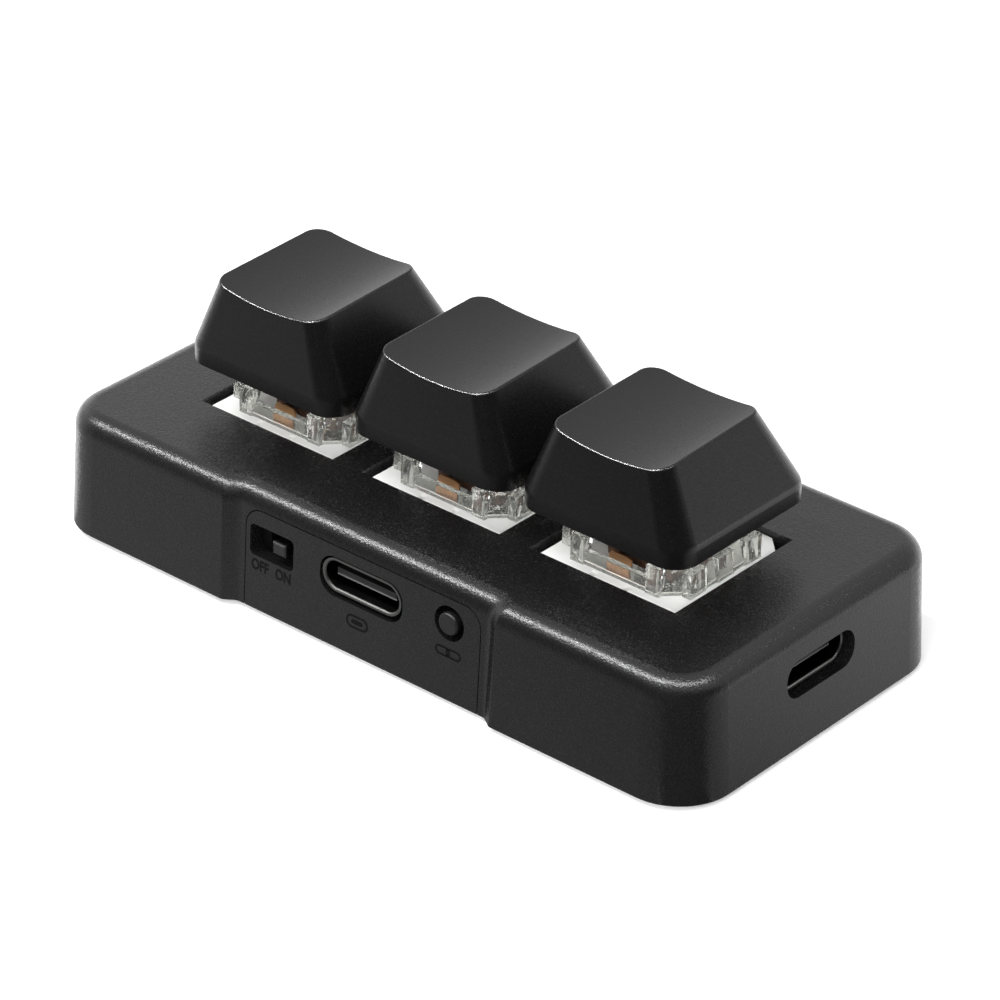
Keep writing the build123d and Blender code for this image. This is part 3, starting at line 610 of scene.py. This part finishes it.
# Stems: acetal mouldings that slide in the housings and carry the caps on a cross.
# Acetal is dense and slippery, with a waxy half-gloss.
acetal_cloud = 2.0 * mm
acetal = new_finish("acetal_dark_brown")
place = add_node(acetal, "ShaderNodeTexCoord", {}).outputs["Object"]
wax = add_node(acetal, "ShaderNodeTexNoise", {"Vector": place, "Scale": 1 / acetal_cloud})
acetal_tint = add_node(
    acetal,
    "ShaderNodeMixRGB",
    {"Fac": wax.outputs["Fac"], "Color1": colour("#3a2a22"), "Color2": colour("#463228")},
)
acetal_shader = add_node(
    acetal,
    "ShaderNodeBsdfPrincipled",
    {"Base Color": acetal_tint.outputs["Color"], "Roughness": 0.34, "IOR": 1.48},
)
add_node(acetal, "ShaderNodeOutputMaterial", {"Surface": acetal_shader.outputs["BSDF"]})
dress(acetal, *[f"key_{key}_stem" for key in keys])

# Upper switch housings: clear polycarbonate, clipped over the lower halves.
# It is glass-clear with bright edges, and the moulding leaves its faces slightly wavy.
flow_wave = 1.2 * mm
wave_depth = 0.12 * mm
clear_plastic = new_finish("clear_polycarbonate")
place = add_node(clear_plastic, "ShaderNodeTexCoord", {}).outputs["Object"]
waves = add_node(clear_plastic, "ShaderNodeTexNoise", {"Vector": place, "Scale": 1 / flow_wave})
wave_bump = add_node(
    clear_plastic,
    "ShaderNodeBump",
    {"Height": waves.outputs["Fac"], "Strength": 0.7, "Distance": wave_depth},
)
clear = add_node(
    clear_plastic,
    "ShaderNodeBsdfPrincipled",
    {
        "Base Color": colour("#fafbf6"),
        "Roughness": 0.0,
        "IOR": 1.58,
        "Transmission Weight": 0.975,
        "Normal": wave_bump.outputs["Normal"],
    },
)
add_node(clear_plastic, "ShaderNodeOutputMaterial", {"Surface": clear.outputs["BSDF"]})
dress(clear_plastic, *[f"key_{key}_upper_housing" for key in keys])
# Light goes through clear plastic, so these housings cast no shadow on what they cover
for key in keys:
    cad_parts[f"key_{key}_upper_housing"].visible_shadow = False

# Top shell, port panel and bottom cover: ABS moulded in tools with a fine spark-eroded face.
# The grain breaks highlights into sparkles and turns the black a soft satin charcoal at low angles.
# The real grain is about half as wide, and is drawn this coarse so that it shows
spark_grain = 0.2 * mm
spark_depth = 0.06 * mm
tone_patch = 9.0 * mm
case_abs = new_finish("moulded_abs_black_spark_grain")
place = add_node(case_abs, "ShaderNodeTexCoord", {}).outputs["Object"]
grain = add_node(
    case_abs,
    "ShaderNodeTexNoise",
    {"Vector": place, "Scale": 1 / spark_grain, "Detail": 2.0, "Roughness": 0.6},
)
tone = add_node(case_abs, "ShaderNodeTexNoise", {"Vector": place, "Scale": 1 / tone_patch})
abs_tint = add_node(
    case_abs,
    "ShaderNodeMixRGB",
    {"Fac": tone.outputs["Fac"], "Color1": colour("#0f0f0f"), "Color2": colour("#121213")},
)
abs_shine = add_node(
    case_abs,
    "ShaderNodeMapRange",
    {"Value": grain.outputs["Fac"], "To Min": 0.18, "To Max": 0.34},
)
grain_bump = add_node(
    case_abs,
    "ShaderNodeBump",
    {"Height": grain.outputs["Fac"], "Strength": 0.5, "Distance": spark_depth},
)
abs_shader = add_node(
    case_abs,
    "ShaderNodeBsdfPrincipled",
    {
        "Base Color": abs_tint.outputs["Color"],
        "Roughness": abs_shine.outputs["Result"],
        "IOR": 1.52,
        "Normal": grain_bump.outputs["Normal"],
    },
)
add_node(case_abs, "ShaderNodeOutputMaterial", {"Surface": abs_shader.outputs["BSDF"]})
dress(case_abs, "top_shell", "port_panel", "bottom_cover")

# Signs on the port panel: OFF and ON under the slide switch, then a plug sign and a link sign.
# They are printed in a thin, glossy black ink, which reads darker than the grained panel.
case_draft = radians(2.75)
ink_film = 0.015 * mm
ink_fleck = 0.15 * mm
sign_ink = new_finish("gloss_black_printing_ink")
place = add_node(sign_ink, "ShaderNodeTexCoord", {}).outputs["Object"]
flecks = add_node(sign_ink, "ShaderNodeTexNoise", {"Vector": place, "Scale": 1 / ink_fleck})
ink_shine = add_node(
    sign_ink,
    "ShaderNodeMapRange",
    {"Value": flecks.outputs["Fac"], "To Min": 0.5, "To Max": 0.65},
)
ink = add_node(
    sign_ink,
    "ShaderNodeBsdfPrincipled",
    {
        "Base Color": colour("#050505"),
        "Roughness": ink_shine.outputs["Result"],
        "IOR": 1.3,
    },
)
add_node(sign_ink, "ShaderNodeOutputMaterial", {"Surface": ink.outputs["BSDF"]})
panel_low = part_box("port_panel")[0]


def panel_point(x, z):
    """The point of the leaning panel face at this place along it and height."""
    return (x, panel_low.y + (z - panel_low.z) * tan(case_draft), z)


def print_sign(sign, name, x, z):
    """Turns a flat sign up against the panel face and fixes it there."""
    sign.name = name
    settle(sign, sign_ink, Matrix.Rotation(radians(90) - case_draft, 4, "X"), panel_point(x, z))
    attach(sign, "case")


letter_height = 1.05 * mm
letter_weight = 0.045 * mm
letter_squeeze = 0.8
font_cap_share = 0.73
legend_z = 4.85 * mm
legend_places = {"OFF": -11.6 * mm, "ON": -8.9 * mm}
for word, x in legend_places.items():
    bpy.ops.object.select_all(action="DESELECT")
    bpy.ops.object.text_add()
    legend = bpy.context.object
    legend.data.body = word
    legend.data.size = letter_height / font_cap_share
    legend.data.offset = letter_weight
    legend.data.extrude = ink_film
    legend.data.align_x = "CENTER"
    legend.data.align_y = "CENTER"
    legend.scale = (letter_squeeze, 1, 1)
    bpy.ops.object.convert(target="MESH")
    print_sign(bpy.context.object, f"switch_legend_{word.lower()}", x, legend_z)

# Each ring of the plug and link signs is a circle drawn out to a slot, with its middle cut away
ring_line = 0.2 * mm
ring_points = 32


def slot_ring(width, height):
    """A flat ring in the shape of a slot, lying at the origin."""
    bpy.ops.object.select_all(action="DESELECT")
    bpy.ops.mesh.primitive_circle_add(vertices=ring_points, radius=height / 2, fill_type="NGON")
    ring = bpy.context.object
    bpy.ops.object.mode_set(mode="EDIT")
    for side in (-1, 1):
        bpy.ops.mesh.select_all(action="DESELECT")
        bpy.ops.object.mode_set(mode="OBJECT")
        for point in ring.data.vertices:
            point.select = point.co.x * side > 0
        bpy.ops.object.mode_set(mode="EDIT")
        bpy.ops.transform.translate(value=(side * (width - height) / 2, 0, 0))
    bpy.ops.mesh.select_all(action="SELECT")
    bpy.ops.mesh.inset(thickness=ring_line)
    bpy.ops.mesh.delete(type="FACE")
    bpy.ops.object.mode_set(mode="OBJECT")
    return ring


def ink_layer(sign):
    """Gives a flat sign the thickness of the ink on both sides of its own plane."""
    apply_modifier(sign, "SOLIDIFY", thickness=2 * ink_film, offset=0)


def join_parts(*parts):
    """Joins the drawn parts of a sign to its first one."""
    only(parts[0])
    for part in parts:
        part.select_set(True)
    bpy.ops.object.join()
    return parts[0]


# The plug sign, under the socket, is the mouth of a plug round a tongue that is all but solid
plug_width, plug_height = 2.5 * mm, 1.3 * mm
plug_tongue_width, plug_tongue_slit = 1.3 * mm, 0.02 * mm
plug_x, plug_z = -0.3 * mm, 3.8 * mm
plug_ring = slot_ring(plug_width, plug_height)
plug_tongue = slot_ring(plug_tongue_width, 2 * ring_line + plug_tongue_slit)
plug_sign = join_parts(plug_ring, plug_tongue)
ink_layer(plug_sign)
print_sign(plug_sign, "plug_sign", plug_x, plug_z)

# The link sign, under the push button, is two rings that overlap like the links of a chain
link_width, link_height, link_reach = 1.7 * mm, 0.95 * mm, 0.6 * mm
link_x, link_z = 9.9 * mm, 5.05 * mm
links = []
for side in (-1, 1):
    link = slot_ring(link_width, link_height)
    link.data.transform(Matrix.Translation((side * link_reach, 0, 0)))
    links.append(link)
link_sign = join_parts(*links)
ink_layer(link_sign)
print_sign(link_sign, "link_sign", link_x, link_z)

# Keycaps: thick-walled ABS mouldings pushed on the crosses of the stems.
# Their face is finer than the case's, with a soft velvety shine that brightens at low angles.
# This grain too is drawn coarser than the real one, so that it shows
cap_grain = 0.12 * mm
cap_grain_depth = 0.02 * mm
cap_abs = new_finish("moulded_abs_black_fine_grain")
place = add_node(cap_abs, "ShaderNodeTexCoord", {}).outputs["Object"]
cap_fine = add_node(
    cap_abs,
    "ShaderNodeTexNoise",
    {"Vector": place, "Scale": 1 / cap_grain, "Detail": 2.0},
)
cap_tone = add_node(cap_abs, "ShaderNodeTexNoise", {"Vector": place, "Scale": 1 / tone_patch})
cap_tint = add_node(
    cap_abs,
    "ShaderNodeMixRGB",
    {"Fac": cap_tone.outputs["Fac"], "Color1": colour("#070707"), "Color2": colour("#090909")},
)
cap_shine = add_node(
    cap_abs,
    "ShaderNodeMapRange",
    {"Value": cap_fine.outputs["Fac"], "To Min": 0.22, "To Max": 0.36},
)
cap_bump = add_node(
    cap_abs,
    "ShaderNodeBump",
    {"Height": cap_fine.outputs["Fac"], "Strength": 0.2, "Distance": cap_grain_depth},
)
cap_shader = add_node(
    cap_abs,
    "ShaderNodeBsdfPrincipled",
    {
        "Base Color": cap_tint.outputs["Color"],
        "Roughness": cap_shine.outputs["Result"],
        "IOR": 1.47,
        "Normal": cap_bump.outputs["Normal"],
    },
)
add_node(cap_abs, "ShaderNodeOutputMaterial", {"Surface": cap_shader.outputs["BSDF"]})
dress(cap_abs, *[f"key_{key}_cap" for key in keys])

# Case screws: four countersunk steel screws, blackened in a hot oxide bath.
# The oxide is thin and dark, with the steel's shine under it.
oxide_patch = 0.6 * mm
black_oxide = new_finish("black_oxide_steel")
place = add_node(black_oxide, "ShaderNodeTexCoord", {}).outputs["Object"]
oxide = add_node(black_oxide, "ShaderNodeTexNoise", {"Vector": place, "Scale": 1 / oxide_patch})
oxide_tint = add_node(
    black_oxide,
    "ShaderNodeMixRGB",
    {"Fac": oxide.outputs["Fac"], "Color1": colour("#26262a"), "Color2": colour("#3a3a3e")},
)
oxide_shader = add_node(
    black_oxide,
    "ShaderNodeBsdfPrincipled",
    {"Base Color": oxide_tint.outputs["Color"], "Metallic": 1.0, "Roughness": 0.36},
)
add_node(black_oxide, "ShaderNodeOutputMaterial", {"Surface": oxide_shader.outputs["BSDF"]})
dress(black_oxide, "case_screws")

# Feet: discs punched from black rubber sheet, stuck into round pockets of the bottom cover.
# The sheet is dull and slightly dusty, with a fine fabric mark from the press.
press_mark = 0.35 * mm
press_mark_depth = 0.05 * mm
foot_rubber = new_finish("pressed_rubber_sheet_black")
place = add_node(foot_rubber, "ShaderNodeTexCoord", {}).outputs["Object"]
marks = add_node(foot_rubber, "ShaderNodeTexVoronoi", {"Vector": place, "Scale": 1 / press_mark})
rubber_tint = add_node(
    foot_rubber,
    "ShaderNodeMixRGB",
    {"Fac": marks.outputs["Distance"], "Color1": colour("#1c1c1c"), "Color2": colour("#272727")},
)
rubber_bump = add_node(
    foot_rubber,
    "ShaderNodeBump",
    {"Height": marks.outputs["Distance"], "Strength": 0.3, "Distance": press_mark_depth},
)
rubber = add_node(
    foot_rubber,
    "ShaderNodeBsdfPrincipled",
    {
        "Base Color": rubber_tint.outputs["Color"],
        "Roughness": 0.75,
        "IOR": 1.52,
        "Normal": rubber_bump.outputs["Normal"],
    },
)
add_node(foot_rubber, "ShaderNodeOutputMaterial", {"Surface": rubber.outputs["BSDF"]})
dress(foot_rubber, "rubber_feet")

# Studio: a painted white floor in a white room, with soft lamps and a light tent of cards.
# Only reflections show the cards; the tent is open in front, which keeps the case black there.
floor_size = 6.0
floor_glow = 0.25
bpy.ops.object.select_all(action="DESELECT")
bpy.ops.mesh.primitive_plane_add(size=floor_size)
floor = bpy.context.object
floor.name = "studio_floor"
floor_paint = new_finish("white_studio_floor")
rays = add_node(floor_paint, "ShaderNodeLightPath", {})
camera_or_mirror = add_node(
    floor_paint,
    "ShaderNodeMath",
    {0: rays.outputs["Is Camera Ray"], 1: rays.outputs["Is Glossy Ray"]},
    operation="MAXIMUM",
)
seen = add_node(
    floor_paint,
    "ShaderNodeMath",
    {0: camera_or_mirror.outputs["Value"], 1: rays.outputs["Is Transmission Ray"]},
    operation="MAXIMUM",
)
glow_share = add_node(
    floor_paint,
    "ShaderNodeMath",
    {0: seen.outputs["Value"], 1: floor_glow},
    operation="MULTIPLY",
)
paint = add_node(floor_paint, "ShaderNodeBsdfDiffuse", {"Color": colour("#ececec")})
glow = add_node(floor_paint, "ShaderNodeEmission", {"Strength": glow_share.outputs["Value"]})
floor_sum = add_node(
    floor_paint,
    "ShaderNodeAddShader",
    {0: paint.outputs["BSDF"], 1: glow.outputs["Emission"]},
)
add_node(floor_paint, "ShaderNodeOutputMaterial", {"Surface": floor_sum.outputs["Shader"]})
floor.data.materials.append(floor_paint)

world = bpy.data.worlds.new("white_room")
bpy.context.scene.world = world
world.use_nodes = True
world.node_tree.nodes.clear()
room = add_node(world, "ShaderNodeBackground", {"Color": colour("#ffffff"), "Strength": 1.0})
add_node(world, "ShaderNodeOutputWorld", {"Surface": room.outputs["Background"]})


def soft_lamp(name, place, aim_point, width, height, watts, roll=0.0):
    """An area lamp at a place, turned to the point that it lights and rolled about that line."""
    bpy.ops.object.light_add(type="AREA", location=place)
    lamp = bpy.context.object
    lamp.name = name
    lamp.data.shape = "RECTANGLE"
    lamp.data.size = width
    lamp.data.size_y = height
    lamp.data.energy = watts
    lamp.rotation_mode = "QUATERNION"
    towards = (Vector(aim_point) - Vector(place)).to_track_quat("-Z", "Y")
    lamp.rotation_quaternion = towards @ Quaternion((0, 0, 1), roll)
    return lamp


def light_only(lamp, *names):
    """Flags a lamp so that its light reaches only the named solids."""
    reached = bpy.data.collections.new(f"{lamp.name}_reach")
    for name in names:
        reached.objects.link(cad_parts[name])
    lamp.light_linking.receiver_collection = reached


# A long strip over the left front corner draws the bright line along the front edge of the case
strip_place = (-0.179, -0.170, 0.435)
strip_length = 0.414
strip_roll = radians(45)
soft_lamp(
    "strip_light",
    strip_place,
    aim_point=(0, -0.017, 0.012),
    width=strip_length,
    height=0.012,
    watts=2.4,
    roll=strip_roll,
)

# A second strip there reaches only the caps, and draws the bright line along their rims
rim_light = soft_lamp(
    "rim_light",
    strip_place,
    aim_point=(0, -0.009, 0.024),
    width=strip_length,
    height=0.05,
    watts=6.8,
    roll=strip_roll,
)
rim_light.visible_diffuse = False
rim_light.data.cycles.max_bounces = 0
rim_light.data.cycles.use_multiple_importance_sampling = False
light_only(rim_light, *[f"key_{key}_cap" for key in keys])

# A soft lamp in front fills the shadows, and no shiny face mirrors it
fill_size = 0.2
fill_lamp = soft_lamp(
    "fill_lamp",
    (0.12, -0.30, 0.16),
    aim_point=(0, 0, 0.012),
    width=fill_size,
    height=fill_size,
    watts=1.1,
)
fill_lamp.visible_glossy = False

# Another at the right reaches only the switches, and whitens their flanges under the caps
switch_lamp = soft_lamp(
    "switch_lamp",
    (0.28, -0.16, 0.10),
    aim_point=(0, 0, 0.014),
    width=fill_size,
    height=fill_size,
    watts=0.8,
)
switch_lamp.visible_glossy = False
for_switches = [f"key_{key}_{half}_housing" for key in keys for half in ("lower", "upper")]
light_only(switch_lamp, *for_switches)

# A card shows in the first shiny face that a ray meets, and not again in a second one behind it
last_mirror = 1.5


def tent_card(card, name, level, fall):
    """Makes an object a card that only shiny faces show; its glow changes by fall per metre."""
    card.name = name
    glow = new_finish(name)
    place = add_node(glow, "ShaderNodeTexCoord", {}).outputs["Object"]
    change = add_node(glow, "ShaderNodeVectorMath", {0: place, 1: fall}, operation="DOT_PRODUCT")
    total = add_node(
        glow,
        "ShaderNodeMath",
        {0: change.outputs["Value"], 1: level},
        operation="ADD",
    )
    strength = add_node(
        glow,
        "ShaderNodeMath",
        {0: total.outputs["Value"], 1: 0.0},
        operation="MAXIMUM",
    )
    rays = add_node(glow, "ShaderNodeLightPath", {})
    first_mirror = add_node(
        glow,
        "ShaderNodeMath",
        {0: rays.outputs["Glossy Depth"], 1: last_mirror},
        operation="LESS_THAN",
    )
    shown = add_node(
        glow,
        "ShaderNodeMath",
        {0: strength.outputs["Value"], 1: first_mirror.outputs["Value"]},
        operation="MULTIPLY",
    )
    light = add_node(glow, "ShaderNodeEmission", {"Strength": shown.outputs["Value"]})
    add_node(glow, "ShaderNodeOutputMaterial", {"Surface": light.outputs["Emission"]})
    card.data.materials.append(glow)
    card.visible_camera = False
    card.visible_diffuse = False
    card.visible_transmission = False
    card.visible_shadow = False


def flat_card(left, right, near, far, height):
    """A level rectangle between these sides."""
    bpy.ops.object.select_all(action="DESELECT")
    middle = ((left + right) / 2, (near + far) / 2, height)
    bpy.ops.mesh.primitive_plane_add(size=1, location=middle)
    card = bpy.context.object
    card.scale = (right - left, far - near, 1)
    bpy.ops.object.transform_apply(location=True, rotation=True, scale=True)
    return card


# The floor cards reach in under the case, and the light on them falls away to the front right
card_lift = 0.1 * mm
card_reach = 250 * mm
front_card_right, front_card_far = 33.5 * mm, -16.5 * mm
corner_card_left, corner_card_far = 33.6 * mm, -14 * mm
right_card_left, right_card_near, right_card_far = 36 * mm, -13.9 * mm, 60 * mm
front_card = flat_card(-card_reach, front_card_right, -card_reach, front_card_far, card_lift)
tent_card(front_card, "front_floor_card", level=0.47, fall=(-4.0, 5.0, 0))
corner_card = flat_card(corner_card_left, card_reach, -card_reach, corner_card_far, card_lift)
tent_card(corner_card, "corner_floor_card", level=0.04, fall=(0, 0, 0))
right_card = flat_card(right_card_left, card_reach, right_card_near, right_card_far, card_lift)
tent_card(right_card, "right_floor_card", level=0.56, fall=(0, 15, 0))

# Overhead the tent is dimmer than at the sides
ceiling_reach = 3.5
ceiling_height = 0.8
ceiling_card = flat_card(
    -ceiling_reach,
    ceiling_reach,
    -ceiling_reach,
    ceiling_reach,
    ceiling_height,
)
tent_card(ceiling_card, "ceiling_card", level=0.7, fall=(0, 0, 0))

# The wall of the tent runs all round, high and black at the front, low and white at the back
tent_radius = 250 * mm
tent_height = 130 * mm
tent_slope = 0.28
tent_sides = 96
bpy.ops.object.select_all(action="DESELECT")
bpy.ops.mesh.primitive_circle_add(vertices=tent_sides, radius=tent_radius)
tent_wall = bpy.context.object
bpy.ops.object.mode_set(mode="EDIT")
bpy.ops.mesh.select_all(action="SELECT")
bpy.ops.mesh.extrude_region_move(TRANSFORM_OT_translate={"value": (0, 0, tent_height)})
bpy.ops.object.mode_set(mode="OBJECT")
for point in tent_wall.data.vertices:
    if point.co.z > 0:
        point.co.z -= tent_slope * point.co.y
tent_card(tent_wall, "tent_wall", level=0.42, fall=(-2.8, 4.2, 0))

# A bow overhead carries the strip's line on round the front right corner
bow_radius = 225 * mm
bow_width = 12 * mm
bow_height = 450 * mm
bow_shift = 100 * mm
bow_left_end = -20 * mm
bow_back_end = 120 * mm
bow_sides = 128
bow_rim = bow_radius + bow_width / 2
bpy.ops.object.select_all(action="DESELECT")
bpy.ops.mesh.primitive_circle_add(vertices=bow_sides, radius=bow_rim, fill_type="NGON")
bow = bpy.context.object
bpy.ops.object.mode_set(mode="EDIT")
bpy.ops.mesh.select_all(action="SELECT")
bpy.ops.mesh.inset(thickness=bow_width)
bpy.ops.mesh.delete(type="FACE")
bpy.ops.object.mode_set(mode="OBJECT")
for point in bow.data.vertices:
    point.select = point.co.x < bow_left_end or point.co.y > bow_back_end
bpy.ops.object.mode_set(mode="EDIT")
bpy.ops.mesh.select_mode(type="VERT")
bpy.ops.mesh.delete(type="VERT")
bpy.ops.object.mode_set(mode="OBJECT")
bow.location = (0, bow_shift, bow_height)
bpy.ops.object.transform_apply(location=True, rotation=True, scale=True)
tent_card(bow, "overhead_bow_card", level=90.0, fall=(0, -150, 0))

# Camera: a long lens above the right end of the port side, turned a little about its own axis.
# It stands where the photograph was taken from, and the lens keeps the edges nearly parallel.
azimuth = radians(40.024)
elevation = radians(30.199)
camera_roll = radians(1.031)
camera_distance = 422.022 * mm
aim = Vector((0.395, 0.926, 8.5)) * mm
away = Vector((sin(azimuth) * cos(elevation), -cos(azimuth) * cos(elevation), sin(elevation)))
bpy.ops.object.camera_add(location=aim + away * camera_distance)
camera = bpy.context.object
camera.rotation_mode = "QUATERNION"
camera.rotation_quaternion = (-away).to_track_quat("-Z", "Y") @ Quaternion((0, 0, 1), camera_roll)
camera.data.sensor_width = 36.0
camera.data.lens = 174.6
camera.data.clip_start = 0.01
camera.data.clip_end = 20.0
bpy.context.scene.camera = camera
bpy.context.scene.view_settings.view_transform = "Standard"
